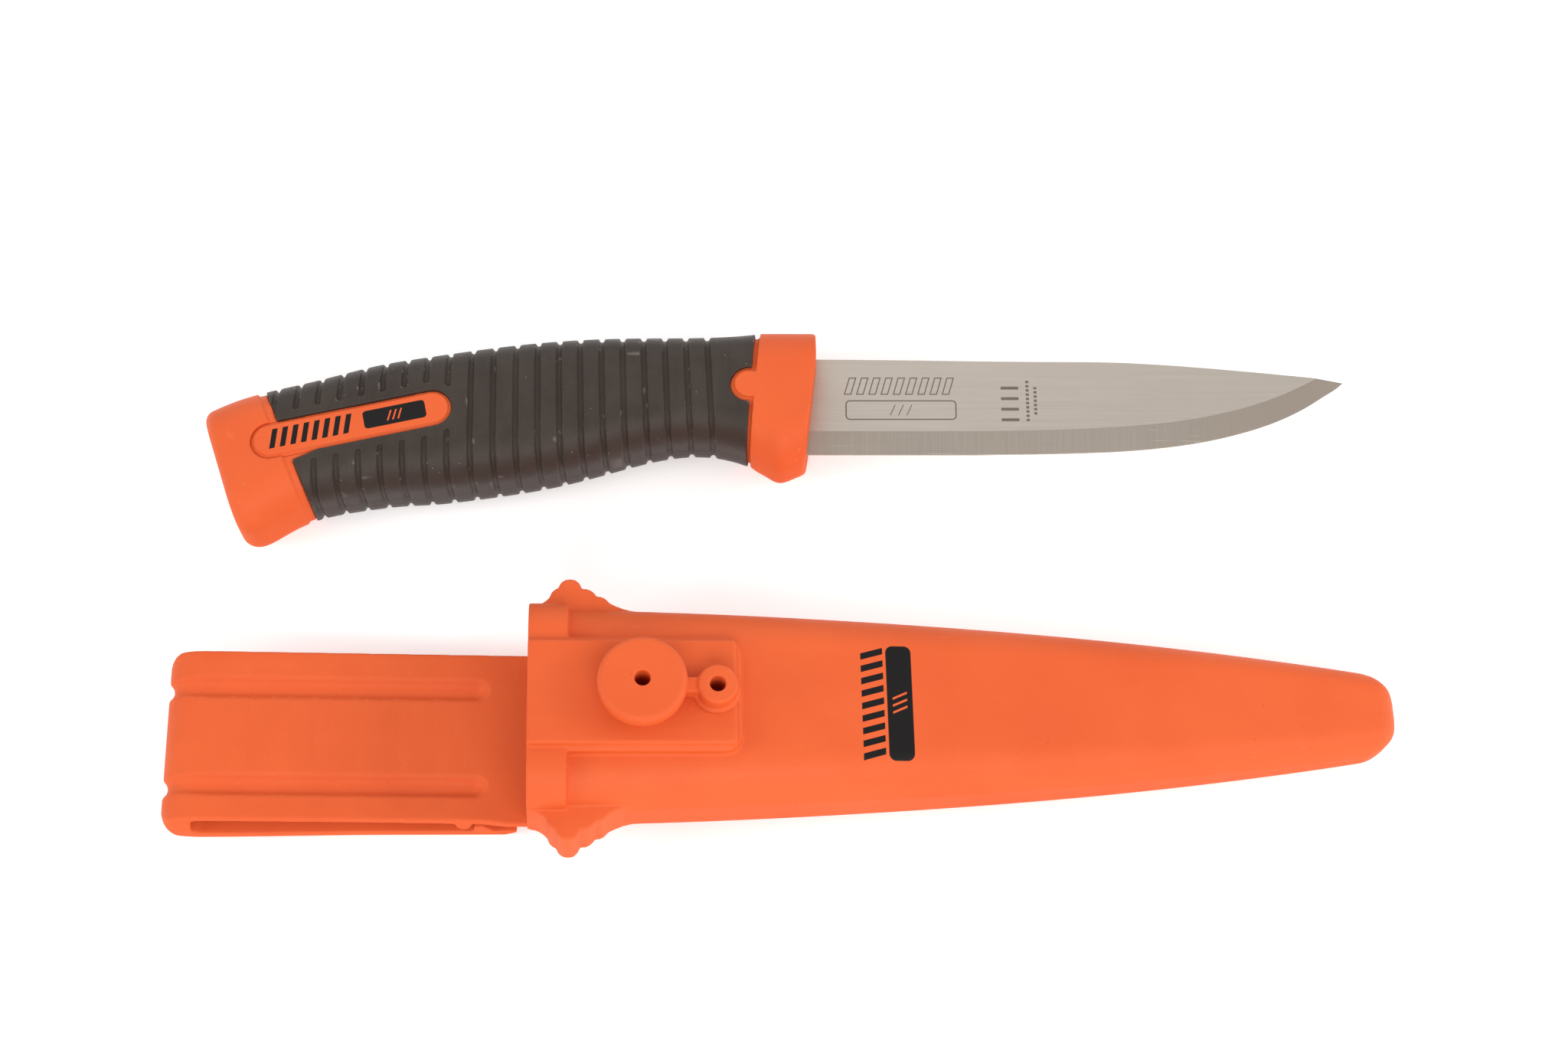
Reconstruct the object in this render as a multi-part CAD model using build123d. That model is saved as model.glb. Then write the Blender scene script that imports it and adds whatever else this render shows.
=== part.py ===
from build123d import *
import math
import os

# Fixed-blade knife lying beside its sheath, in millimetres and degrees.
# Sheath frame: origin at the mouth, X to the tip, Y across, Z out of the face with the button.
# Knife frame: origin near the guard front, X to the point, Y to the spine, Z out of a broad face.
# Each piece is built in its own frame and placed in a shared frame on export.

os.makedirs("parts", exist_ok=True)

# ---------------------------------------------------------------- placement
PITCH = 4.4              # the sheath rests on the clip and its tip
MOUTH_AT = (-45.78, -26.80, 17.724)
KNIFE_AT = (7.03, 37.48, 9.905)
KNIFE_TURN = -1.4

sheath_place = Location(MOUTH_AT, (0, PITCH, 0))
knife_place = Location(KNIFE_AT, (0, 0, KNIFE_TURN))


# ---------------------------------------------------------------- shared helpers
def cross_plane(x, y=0.0, z=0.0):
    """Plane square to X, drawn in (Y, Z)."""
    return Plane(origin=(x, y, z), x_dir=(0, 1, 0), z_dir=(1, 0, 0))


def cross_section(x, half_width, half_thick, radius, z_mid=0.0):
    """Rounded rectangle square to the sheath axis."""
    outline = RectangleRounded(2 * half_width, 2 * half_thick, radius)
    return (cross_plane(x, z=z_mid) * outline).face()


def chain(start, *steps):
    """Joined edges: a point adds a line, a (through, end) pair adds an arc."""
    joined = []
    for step in steps:
        if isinstance(step[0], tuple):
            joined.append(ThreePointArc(start, *step))
            start = step[1]
        else:
            joined.append(Line(start, step))
            start = step
    return joined


def prism(points, z_low, z_high):
    """Straight prism over a closed XY polygon."""
    base = make_face(Polyline(*points, close=True))
    return extrude(Plane.XY.offset(z_low) * base, amount=z_high - z_low)


def side_prism(outline, half_width):
    """Prism across Y over a closed outline drawn in XZ."""
    return extrude(make_face(outline), amount=half_width, both=True)


def post(x, diameter, z_low, z_high):
    """Upright cylinder on the sheath centreline."""
    return Pos(x, 0, (z_low + z_high) / 2) * Cylinder(diameter / 2, z_high - z_low)


def fillet_at(shape, z, radius):
    """Round the edges centred at height z."""
    return fillet(shape.edges().filter_by(lambda e: abs(e.center().Z - z) < 1e-3), radius)


# ================================================================ belt clip
STRAP_W = 32.6
STRAP_T = 2.0
STRAP_Z0 = -11.2         # top face at the mouth
STRAP_RISE = 0.0383      # rise per mm towards -X
STRAP_Y = -0.4           # the clip sits slightly off the sheath centreline
ROOT_L = 16.0            # strap root under the shell
CLIP_CORNER_R = 3.0      # corners at the bend, seen from above
LEG_T = 2.2
LEG_LOW = -18.1          # underside of the leg
LEG_TOP = LEG_LOW + LEG_T
NOSE_START = -5.8        # where the leg's underside turns up into the nose
NOSE_TIP = (-2.0, 0, LEG_LOW + 1.7)
BEND_START = -58.7       # where the bend leaves the strap and the leg, outside
BEND_X = -66.0           # far end of the bend
BEND_Z = -13.5           # split plane of the bend
SLOT_START = -58.1       # where the inside of the bend begins
SLOT_END = -60.6         # far end of the slot between strap and leg
TOOTH_DROP = 0.35        # tooth top below the strap underside
GROOVE_R = 2.2
GROOVE_OUT = 1.3         # groove centreline outside the clip surface
GROOVE_Y = 9.25
GROOVE_ENDS = (-10.0, -45.0)   # x on the strap, x on the leg
SPLIT_LOW = -14.9        # split height under the keeper bump
SPLIT_STEP = -10.2       # where the split steps up to the strap


def strap_top(x):
    return STRAP_Z0 - STRAP_RISE * x


def strap_under(x):
    return strap_top(x) - STRAP_T


def below_strap(x, drop=0.0):
    """Point a given drop below the strap underside."""
    return (x, 0, strap_under(x) - drop)


def clip_outside(offset, x_start, x_stop):
    """Outside line of strap, bend and leg, pushed out by offset, with its two end points."""
    norm = math.hypot(1, STRAP_RISE)
    shift_x = offset * STRAP_RISE / norm
    shift_z = offset / norm
    start = (x_start + shift_x, 0, strap_top(x_start) + shift_z)
    bend_in = (BEND_START + shift_x, 0, strap_top(BEND_START) + shift_z)
    bend_far = (BEND_X - offset, 0, BEND_Z)
    bend_out = (BEND_START, 0, LEG_LOW - offset)
    stop = (x_stop, 0, LEG_LOW - offset)
    turns = ((-1, 0, STRAP_RISE), (0, 0, -1), (1, 0, 0))
    path = [
        Line(start, bend_in),
        Spline(bend_in, bend_far, bend_out, tangents=turns),
        Line(bend_out, stop),
    ]
    return path, start, stop


def clip_outline():
    """Closed side outline: strap, bend, leg, nose, leg top, slot end, strap underside."""
    path, start, stop = clip_outside(0.0, ROOT_L, NOSE_START)
    nose = Spline(
        stop, (-3.6, 0, LEG_LOW + 0.35), NOSE_TIP,
        tangents=((1, 0, 0), (0.75, 0, 0.75), (0.35, 0, 1)),
    )
    # the tooth is sloped towards the nose and steep towards the bend
    leg_inside = chain(
        NOSE_TIP,
        (-2.15, 0, LEG_TOP),
        (-6.2, 0, LEG_TOP),
        below_strap(-8.0, TOOTH_DROP),
        below_strap(-9.7, TOOTH_DROP),
        (-10.05, 0, LEG_TOP),
        (SLOT_START, 0, LEG_TOP),
    )
    slot_end = Spline(
        (SLOT_START, 0, LEG_TOP), (SLOT_END, 0, BEND_Z), below_strap(SLOT_START),
        tangents=((-1, 0, 0), (0, 0, 1), (1, 0, -STRAP_RISE)),
    )
    # the two arcs form the keeper bump on the strap
    strap_inside = chain(
        below_strap(SLOT_START),
        below_strap(-13.15),
        ((-12.55, 0, strap_under(-12.5) - 1.55), below_strap(-11.8, 1.9)),
        ((-10.75, 0, strap_under(-10.7) - 1.45), below_strap(-10.35)),
        below_strap(ROOT_L),
        start,
    )
    return path + [nose] + leg_inside + [slot_end] + strap_inside


def clip_groove():
    """Round-bottomed groove down the strap, round the bend and along the leg."""
    path, start, stop = clip_outside(GROOVE_OUT, *GROOVE_ENDS)
    start_plane = Plane(origin=start, x_dir=(0, 1, 0), z_dir=(-1, 0, STRAP_RISE))
    groove = sweep(start_plane * Circle(GROOVE_R), path=Wire(path))
    groove += Pos(*start) * Sphere(GROOVE_R) + Pos(*stop) * Sphere(GROOVE_R)
    return groove


def make_clip():
    """Belt strap and clip leg, parted at the bend."""
    clip = side_prism(clip_outline(), STRAP_W / 2)
    overrun = 10.0       # keeps the rounded corners off the root
    plan = extrude(
        Plane.XY.offset(-25)
        * Pos((BEND_X + ROOT_L + overrun) / 2, 0)
        * RectangleRounded(ROOT_L - BEND_X + overrun, STRAP_W, CLIP_CORNER_R),
        amount=30,
    )
    clip = clip & plan
    groove = clip_groove()
    clip = clip - (Pos(0, GROOVE_Y, 0) * groove) - (Pos(0, -GROOVE_Y, 0) * groove)
    clip = Pos(0, STRAP_Y, 0) * clip

    # the split passes under the keeper bump, then steps up so the tooth stays on the leg
    past_root = ROOT_L + 5
    strap_zone = side_prism(
        chain(
            (past_root, 0, -5),
            (-80, 0, -5),
            (-80, 0, BEND_Z),
            (-56, 0, BEND_Z),
            (-14, 0, SPLIT_LOW),
            (SPLIT_STEP, 0, SPLIT_LOW),
            below_strap(SPLIT_STEP, 0.1),
            (past_root, 0, strap_under(ROOT_L) - 1.5),
            (past_root, 0, -5),
        ),
        40,
    )
    return clip & strap_zone, clip - strap_zone


# ================================================================ sheath shell
SHELL_L = 158.7          # mouth to tip
MOUTH_HALF_W = 19.0
MOUTH_HALF_T = 11.4
TIP_R = 3.6
BODY = [  # x, half width, half thickness
    (0, MOUTH_HALF_W, MOUTH_HALF_T), (25, 18.4, 11.4), (50, 17.35, 11.3), (75, 15.95, 10.35),
    (100, 14.1, 9.05), (125, 11.6, 7.6), (150, 8.35, 6.15), (SHELL_L, 7.0, 5.6),
]
BODY_ROUND = 0.7         # corner radius over half thickness
WALL_SIDE = 2.0          # wall at the narrow sides
WALL_FACE = 1.7          # wall at the broad faces
CAVITY_L = 155.3         # depth of the blade cavity
# the cavity follows the body between its own two end stations (same columns)
CAVITY = [(-0.5, 18.7, 11.4)] + BODY[1:-1] + [(CAVITY_L, 7.35, 5.85)]
COLLAR_L = 7.0
COLLAR_TOP = 13.4        # collar height above the mid-plane
COLLAR_R = 7.0
PANEL_BASE = 6.0
PANEL_TOP = 14.75
PANEL_L = 36.7
PANEL_W = 19.0
PANEL_BACK = 8.0         # panel run before the mouth, trimmed off
PANEL_FLARE = 2.2        # spread of the tapered sides at the base
PANEL_TAPER = 14.0
STEP_OUT = 1.05          # low ledge round the panel
STEP_H = 7.2             # its height above the panel base
FIN_T = 12.0             # thumb ramp thickness
RAMP_START = (0, 10)
RAMP_STEPS = [  # scalloped outline in XY: points for lines, (through, end) for arcs
    (0, 19.2),
    ((2.2, 19.75), (3.7, 21.0)),
    ((4.15, 22.1), (5.2, 22.7)),
    ((7.2, 24.5), (9.4, 22.5)),
    ((10.95, 22.35), (12.1, 21.1)),
    ((13.4, 20.85), (14.4, 19.9)),
    ((16.9, 18.75), (20.5, 18.0)),
    (20.5, 10),
    RAMP_START,
]
RIB_SIZE = (34, 1.2, 1.0)
RIB_AT = (21, 7.0, 9.9)  # rib centre, repeated with both signs of y and z

HEAD_X = 20.0            # button centre
SMALL_X = 33.2           # small stud centre
CORE_HOLE_D = 2.8


def panel_plate(length, width, radius):
    """Panel outline at the panel base, ending a given length past the mouth."""
    outline = RectangleRounded(length + PANEL_BACK, width, radius)
    return Plane.XY.offset(PANEL_BASE) * Pos((length - PANEL_BACK) / 2, 0) * outline


def make_outer():
    body = loft([cross_section(x, w, t, BODY_ROUND * t) for x, w, t in BODY])
    tip_edges = body.edges().filter_by(lambda e: e.center().X > SHELL_L - 0.01)
    body = fillet(tip_edges, TIP_R)

    # the collar stands proud on the button face only
    collar_section = cross_section(
        0, MOUTH_HALF_W, (COLLAR_TOP + MOUTH_HALF_T) / 2, COLLAR_R,
        (COLLAR_TOP - MOUTH_HALF_T) / 2,
    )
    collar = extrude(collar_section, amount=COLLAR_L)

    # the flare widens the base at both ends, so the plate is drawn about the panel's middle
    panel_base = RectangleRounded(
        PANEL_L + PANEL_BACK + 2 * PANEL_FLARE, PANEL_W + 2 * PANEL_FLARE, 3.0
    )
    panel = extrude(
        Plane.XY.offset(PANEL_BASE) * Pos((PANEL_L - PANEL_BACK) / 2, 0) * panel_base,
        amount=PANEL_TOP - PANEL_BASE,
        taper=PANEL_TAPER,
    )
    panel = fillet_at(panel, PANEL_TOP, 0.5)
    ledge = extrude(
        panel_plate(PANEL_L + STEP_OUT, PANEL_W + 2 * STEP_OUT, 3.2), amount=STEP_H
    )
    past_mouth = Pos(100, 0, 0) * Box(200, 80, 60)

    ramp_face = make_face(chain(RAMP_START, *RAMP_STEPS))
    ramp = extrude(Plane.XY.offset(-FIN_T / 2) * ramp_face, amount=FIN_T)
    ramps = ramp + mirror(ramp, about=Plane.XZ)
    return body + collar + ((panel + ledge) & past_mouth) + ramps


def make_shell(belt_strap):
    outer = make_outer()
    cavity = loft([
        cross_section(x, w - WALL_SIDE, t - WALL_FACE, BODY_ROUND * t - 1.4)
        for x, w, t in CAVITY
    ])
    # lead-in chamfer at the mouth
    lead_in = loft([
        cross_section(-0.01, 17.2, 10.15, 6.9),
        cross_section(0.9, 16.55, 9.6, 6.5),
    ])
    # ribs on the broad inner faces, trimmed to stay inside the wall
    rib_x, rib_y, rib_z = RIB_AT
    ribs = Part()
    for side_y in (-1, 1):
        for side_z in (-1, 1):
            ribs += Pos(rib_x, side_y * rib_y, side_z * rib_z) * Box(*RIB_SIZE)

    shell = outer - cavity - lead_in
    shell += ribs & loft([
        cross_section(x, w - 1, t - 0.9, BODY_ROUND * t - 0.8) for x, w, t in BODY[:4]
    ])
    # the strap root is let into the wall on the clip side
    shell -= belt_strap
    for x in (HEAD_X, SMALL_X):
        shell -= post(x, CORE_HOLE_D, 8, 20)
    return shell


# ================================================================ button and small stud
HEAD_D = 15.8
STEM_D = 9.0
HEAD_LOW = 18.3
HEAD_TOP = 21.5
SMALL_D = 7.2
SMALL_TOP = 18.7
SMALL_BASE_D = 8.6       # thin disc under the small stud
SMALL_BASE_TOP = PANEL_TOP + 0.6
WEB_W = 2.7
WEB_TOP = 18.2


def make_button():
    """Button and small stud joined by a web, with a hole down each."""
    stem = post(HEAD_X, STEM_D, PANEL_TOP, HEAD_LOW)
    head = post(HEAD_X, HEAD_D, HEAD_LOW, HEAD_TOP)
    head = fillet_at(head, HEAD_TOP, 1.25)
    head = fillet_at(head, HEAD_LOW, 0.4)
    small = fillet_at(post(SMALL_X, SMALL_D, PANEL_TOP, SMALL_TOP), SMALL_TOP, 0.5)
    base = post(SMALL_X, SMALL_BASE_D, PANEL_TOP, SMALL_BASE_TOP)
    small += fillet_at(base, SMALL_BASE_TOP, 0.3)
    web = Pos((HEAD_X + SMALL_X) / 2, 0, (PANEL_TOP + WEB_TOP) / 2) * Box(
        SMALL_X - HEAD_X, WEB_W, WEB_TOP - PANEL_TOP
    )
    button = stem + head + small + web
    for x in (HEAD_X, SMALL_X):
        button -= post(x, CORE_HOLE_D, 12, 24)
    return button


# ================================================================ blade
BLADE_T = 2.5            # stock thickness
EDGE_T = 0.10            # land left at the cutting edge
HEEL_X = 19.3            # where the straight rear part of the outline ends
BLADE_REAR = (-4.0, 9.70)
SPINE = [  # x, y towards the point
    (HEEL_X, 9.44), (43.0, 9.11), (57.7, 9.0), (69.5, 8.35), (81.4, 7.3), (93.4, 6.05),
    (103.0, 5.05),
]
EDGE = [  # x, y from the point back
    (103.0, 5.05), (102.4, 4.5), (99.4, 2.40), (96.4, 0.40), (93.4, -1.35), (87.4, -4.05),
    (81.4, -5.98), (75.5, -7.42), (69.5, -8.42), (63.6, -9.10), (57.7, -9.55),
    (50.0, -9.85), (43.0, -10.02), (30.0, -10.15), (HEEL_X, -10.2),
]
BEVEL = [  # x, y where the bevel starts, y of the edge
    (-6, -5.55, -10.2), (18, -5.55, -10.2), (33, -5.55, -10.13), (46, -5.3, -9.95),
    (57.7, -4.82, -9.55), (68.5, -3.28, -8.55), (79.2, -1.50, -6.55), (88.6, 1.45, -3.55),
    (93.9, 3.9, -1.05), (97.5, 5.9, 1.1), (100.3, 7.8, 2.95), (104.5, 10.9, 6.0),
]
TANG = [  # x, y
    (-3.9, 6.0), (-40, 3.4), (-77, -3.2), (-80.0, -4.6), (-78.5, -7.6), (-40, -4.9),
    (-3.9, -6.0),
]


def bevel_cut(side):
    """Material above the single broad bevel on one side (+1 or -1 in Z)."""
    clear_z = 3.0
    past_edge = 1.0
    sections = []
    for x, y_start, y_edge in BEVEL:
        slope = (BLADE_T / 2 - EDGE_T / 2) / (y_start - y_edge)
        y_low = y_edge - past_edge
        corners = [
            (y_start, BLADE_T / 2), (y_start, clear_z), (y_low, clear_z),
            (y_low, EDGE_T / 2 - slope * past_edge),
        ]
        outline = Polyline(*[(y, side * z) for y, z in corners], close=True)
        sections.append((cross_plane(x) * make_face(outline)).face())
    return loft(sections, ruled=True)


def make_blade():
    outline = [
        Line(BLADE_REAR, SPINE[0]),
        Spline(*SPINE, tangents=((1, -0.012), (1, -0.10))),
        Spline(*EDGE, tangents=((-0.62, -0.5), (-1, 0.0))),
    ] + chain(EDGE[-1], (BLADE_REAR[0], EDGE[-1][1]), BLADE_REAR)
    steel = extrude(Plane.XY.offset(-BLADE_T / 2) * make_face(outline), amount=BLADE_T)
    for side in (1, -1):
        steel -= bevel_cut(side)
    return steel + prism(TANG, -BLADE_T / 2, BLADE_T / 2)


# ================================================================ handle forms
GRIP_WALL = 2.6          # rubber over the hard core
GRIP_ROUND = 0.76        # corner radius over half thickness
BUTT_R = 2.2             # rounding of the rear end
GRIP = [  # top point, bottom point, half thickness; each square to the bent axis
    ((-115.9, -3.6), (-107.8, -26.4), 9.3),
    ((-112.0, -1.7), (-104.2, -27.5), 9.75),
    ((-104.3, 1.1), (-97.9, -23.8), 9.9),
    ((-97.4, 2.9), (-91.9, -21.4), 9.9),
    ((-88.9, 5.3), (-83.9, -19.9), 9.9),
    ((-76.9, 8.1), (-73.0, -18.9), 9.9),
    ((-63.1, 10.35), (-60.9, -17.4), 9.8),
    ((-49.1, 12.1), (-48.3, -15.1), 9.5),
    ((-35.2, 12.85), (-35.6, -11.5), 9.15),
    ((-23.2, 13.0), (-24.4, -9.1), 8.9),
    ((-8.5, 14.05), (-10.5, -11.8), 9.0),
]
# joints as (top, bottom): butt to rubber, and the slightly leaning one behind the guard
BUTT_JOINT = ((-103.9, 0.0), (-92.0, -27.5))
FRONT_JOINT = ((-10.65, 14.0), (-12.45, -14.0))
LEDGE_W = 1.7            # width of the lower ledge between butt and rubber
LEDGE_D = 0.5            # its depth
CORNER_CUT = [  # x, y of the wedge of rubber cut away below each plate
    (-97.65, -15.5), (-96.9, -15.35), (-92.6, -13.25), (-92.6, -10.0), (-99.0, -12.0),
]
PLATE_R = 3.7            # end radius of the side plates
PLATE_FLOOR = 6.5        # height of the plate seat above the mid-plane
PLATE_REAR = (-101.7, -11.5)    # centres of the plate's round ends
PLATE_FRONT = (-71.7, -4.75)
TAB_AT = (-11.9, 0.75)
TAB_R = 2.75             # round tab behind the guard
TAB_LEDGE_R = 3.55       # its lower ledge


def grip_form(inset, first=0, last=None):
    """Handle shape shrunk by inset, through the stations first to last."""
    sections = []
    for (top_x, top_y), (low_x, low_y), half_thick in GRIP[first:last]:
        height = math.hypot(top_x - low_x, top_y - low_y)
        up_x, up_y = (top_x - low_x) / height, (top_y - low_y) / height
        plane = Plane(
            origin=((top_x + low_x) / 2, (top_y + low_y) / 2, 0),
            x_dir=(up_x, up_y, 0),
            z_dir=(up_y, -up_x, 0),
        )
        radius = max(GRIP_ROUND * half_thick - inset, 1.0)
        outline = RectangleRounded(height - 2 * inset, 2 * (half_thick - inset), radius)
        sections.append((plane * outline).face())
    return loft(sections)


def slab(*corners):
    return prism(corners, -20, 20)


def extend(start, end, share):
    """Point beyond start on the line from end, by a share of its length."""
    return (
        start[0] + (start[0] - end[0]) * share,
        start[1] + (start[1] - end[1]) * share,
    )


def plate_form(radius):
    """Stadium block rising from the plate seat."""
    run_x = PLATE_FRONT[0] - PLATE_REAR[0]
    run_y = PLATE_FRONT[1] - PLATE_REAR[1]
    middle = Pos((PLATE_REAR[0] + PLATE_FRONT[0]) / 2, (PLATE_REAR[1] + PLATE_FRONT[1]) / 2)
    turn = Rot(0, 0, math.degrees(math.atan2(run_y, run_x)))
    outline = middle * turn * SlotCenterToCenter(math.hypot(run_x, run_y), 2 * radius)
    return extrude(Plane.XY.offset(PLATE_FLOOR) * outline, amount=6.0)


grip_outer = grip_form(0.0)
rear_face = grip_outer.faces().sort_by(Axis.X)[0]
grip_outer = fillet(rear_face.edges(), BUTT_R)
grip_inner = grip_form(GRIP_WALL, 1)

butt_top = extend(*BUTT_JOINT, 0.8)
butt_low = extend(*reversed(BUTT_JOINT), 0.8)
front_top = extend(*FRONT_JOINT, 0.5)
front_low = extend(*reversed(FRONT_JOINT), 0.5)
rubber_zone = slab(butt_top, front_top, front_low, butt_low)

corner_cut = prism(CORNER_CUT, 5.0, 12.0)
corner_cuts = corner_cut + mirror(corner_cut, about=Plane.XY)

seat_left = plate_form(PLATE_R)
seat_right = mirror(seat_left, about=Plane.XY)

# ================================================================ handle core
GUARD_T = 18.5           # guard thickness
GUARD_R = 8.2            # rounding of the guard, seen along the knife
GUARD_TOP = 14.3
GUARD_START = (-9.75, 13.3)
GUARD_STEPS = [  # XY: points for lines, (through, end) for arcs
    (-9.0, 14.6),
    (-1.2, 14.6),
    ((0.25, 13.8), (0.9, 12.0)),
    (0.93, 6.6),
    (-1.0, -11.4),
    ((-1.55, -12.8), (-2.6, -14.4)),
    (-2.8, -17.0),
    (-11.75, -17.0),
    (-11.75, -12.0),
    GUARD_START,
]
GUARD_LOW = [  # x, y of the guard's lower side
    (-13.0, -10.75), (-10.6, -12.3), (-8.6, -13.55), (-7.1, -14.5), (-5.95, -14.8),
    (-4.7, -14.55), (-3.2, -13.85), (-1.2, -12.8), (1.6, -11.4),
]


def make_guard():
    plan = make_face(chain(GUARD_START, *GUARD_STEPS))
    guard = extrude(Plane.XY.offset(-GUARD_T / 2) * plan, amount=GUARD_T)
    sections = []
    for x, low in GUARD_LOW:
        outline = RectangleRounded(GUARD_TOP - low, GUARD_T, GUARD_R)
        sections.append((cross_plane(x, y=(GUARD_TOP + low) / 2) * outline).face())
    return guard & loft(sections)


def make_tabs():
    """Round tab with its ledge on each broad face."""
    tabs = Part()
    for side in (-1, 1):
        tabs += Pos(*TAB_AT, side * 7.1) * Cylinder(TAB_R, 4.2)
        tabs += Pos(*TAB_AT, side * 6.5) * Cylinder(TAB_LEDGE_R, 3.6)
    return tabs & slab((-20, 10), (-9.5, 10), (-9.5, -10), (-20, -10))


def make_core(steel):
    inner = grip_inner & slab(butt_top, (-9, 40), (-9, -40), butt_low)

    # the butt stops short of the joint; a lower ledge fills the gap and runs on as a wedge
    ledge_zone = slab((-150, 40), butt_top, butt_low, (-150, -60))
    butt_zone = slab(
        (-150, 40),
        (butt_top[0] - LEDGE_W, butt_top[1]),
        (butt_low[0] - LEDGE_W, butt_low[1]),
        (-150, -60),
    )
    ledge_form = grip_form(LEDGE_D, 1, 5)
    butt = (grip_outer & butt_zone) + (ledge_form & ledge_zone) + (ledge_form & corner_cuts)

    front_ring = grip_form(0.9) & slab((-14.0, 30), (-9.0, 30), (-9.0, -30), (-16.0, -30))
    core = inner + butt + front_ring + make_guard() + make_tabs()
    return core - steel - seat_left - seat_right


# ================================================================ rubber sleeve
GROOVE_W = 1.0           # grip groove width
GROOVE_D = 0.65          # grip groove depth
GROOVE_CLEAR = 1.7       # plain rubber left round the side plates
RING_LEAN = 3.4          # lean of the foremost groove; the rearmost is upright
RING_TOP, RING_LOW = 16.0, -28.0
RING_X = [
    -101.6, -97.4, -93.4, -89.4, -85.4, -81.4, -77.35, -73.3, -69.2, -64.9, -60.7,
    -56.5, -52.4, -48.35, -44.35, -40.3, -36.3, -32.25, -28.2, -24.15, -20.05,
]


def make_sleeve(core):
    sleeve = (grip_outer & rubber_zone) - grip_inner - seat_left - seat_right
    sleeve -= core
    sleeve -= corner_cuts
    for side in (-1, 1):
        sleeve -= Pos(*TAB_AT, side * 8) * Cylinder(TAB_LEDGE_R, 8)

    # ring grooves: slices of the outer skin, kept clear of the plates
    skin = (grip_outer & rubber_zone) - grip_form(GROOVE_D)
    plate_margin = plate_form(PLATE_R + GROOVE_CLEAR)
    skin = skin - plate_margin - mirror(plate_margin, about=Plane.XY)
    half = GROOVE_W / 2
    for i, x in enumerate(RING_X):
        lean = math.tan(math.radians(RING_LEAN * i / (len(RING_X) - 1)))
        x_top, x_low = x - lean * 4, x + lean * 40
        corners = [
            (x_top - half, RING_TOP), (x_top + half, RING_TOP),
            (x_low + half, RING_LOW), (x_low - half, RING_LOW),
        ]
        sleeve -= skin & prism(corners, -15, 15)
    return sleeve


# ================================================================ build and write the pieces
belt_strap, clip_leg = make_clip()
blade = make_blade()
handle_core = make_core(blade)

pieces = {
    "blade": (blade, knife_place),
    "handle_core": (handle_core, knife_place),
    "grip_overmould": (make_sleeve(handle_core), knife_place),
    "side_plate_left": (seat_left & grip_outer, knife_place),
    "side_plate_right": (seat_right & grip_outer, knife_place),
    "sheath_shell": (make_shell(belt_strap), sheath_place),
    "button_stud": (make_button(), sheath_place),
    "belt_strap": (belt_strap, sheath_place),
    "clip_leg": (clip_leg, sheath_place),
}
for name, (shape, place) in pieces.items():
    solids = shape.solids()
    placed = place * (solids[0] if len(solids) == 1 else shape)
    export_step(placed, f"parts/{name}.step")
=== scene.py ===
"""A knife with an orange and rubber handle, lying beside its orange sheath on a pale floor.

Both lie flat in the shared frame, z up. Each has a local frame in mm:
sheath: x to its tip, y across, z out of the button face;
knife: x to the point, y to the spine, z out of the broad face.
"""
import math

import bmesh
import bpy
import numpy as np
from mathutils import Matrix, Vector


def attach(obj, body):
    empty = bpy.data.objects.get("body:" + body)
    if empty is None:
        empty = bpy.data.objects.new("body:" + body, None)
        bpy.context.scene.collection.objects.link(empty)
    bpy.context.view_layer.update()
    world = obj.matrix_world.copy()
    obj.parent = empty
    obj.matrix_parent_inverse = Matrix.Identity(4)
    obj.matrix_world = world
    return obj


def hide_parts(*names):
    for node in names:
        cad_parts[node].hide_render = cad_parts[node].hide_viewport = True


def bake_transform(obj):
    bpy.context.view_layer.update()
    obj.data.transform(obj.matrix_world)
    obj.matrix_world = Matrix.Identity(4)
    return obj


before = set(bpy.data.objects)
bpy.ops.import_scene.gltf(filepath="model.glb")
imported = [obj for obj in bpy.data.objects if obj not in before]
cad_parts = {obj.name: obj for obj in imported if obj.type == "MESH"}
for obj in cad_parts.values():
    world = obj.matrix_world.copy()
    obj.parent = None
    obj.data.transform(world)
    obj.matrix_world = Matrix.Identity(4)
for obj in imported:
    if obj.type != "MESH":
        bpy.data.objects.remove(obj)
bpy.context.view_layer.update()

scene = bpy.context.scene

# ---------------------------------------------------------------- sizes (mm, local frames)
MM = 0.001
TO_M = Matrix.Scale(MM, 4)
TO_MM = Matrix.Scale(1000.0, 4)

SHEATH_PITCH = math.radians(4.4)
KNIFE_TURN = math.radians(-1.4)
SHEATH = Matrix.Translation((-45.78, -26.80, 17.724)) @ Matrix.Rotation(SHEATH_PITCH, 4, "Y")
KNIFE = Matrix.Translation((7.03, 37.48, 9.905)) @ Matrix.Rotation(KNIFE_TURN, 4, "Z")

# inlay plates: a long oval round the line between two centres
PLATE_START, PLATE_END = (-101.7, -11.5), (-71.7, -4.75)
PLATE_RADIUS = 3.7
PLATE_TURN = math.radians(12.68)
RIM_DROP = 0.55
SEAM_DROP = 0.35        # the grip's parting line lies this far below z = 0

# sheath tip
TIP_LENGTH, TIP_HALF_WIDTH = 6.5, 6.3
TIP_TRIM, TIP_CURVE = 0.25, 1.45    # taken off the end at its middle, and more towards its sides

# belt clip
LEG_TOP = -15.9
LEG_SPLIT, LEG_OVERLAP = -50.0, 0.6
TOOTH_START, TOOTH_END = -12, -5.4
STRAP_INSET, LEG_OUTSET = 0.62, 0.32
GROOVES_Y = (-9.65, 8.85)
GROOVE_END, GROOVE_HALF_WIDTH, GROOVE_DEPTH = -9.6, 2.35, 0.42


# ================================================================ mesh tools
def link(ob):
    scene.collection.objects.link(ob)
    return ob


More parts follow.
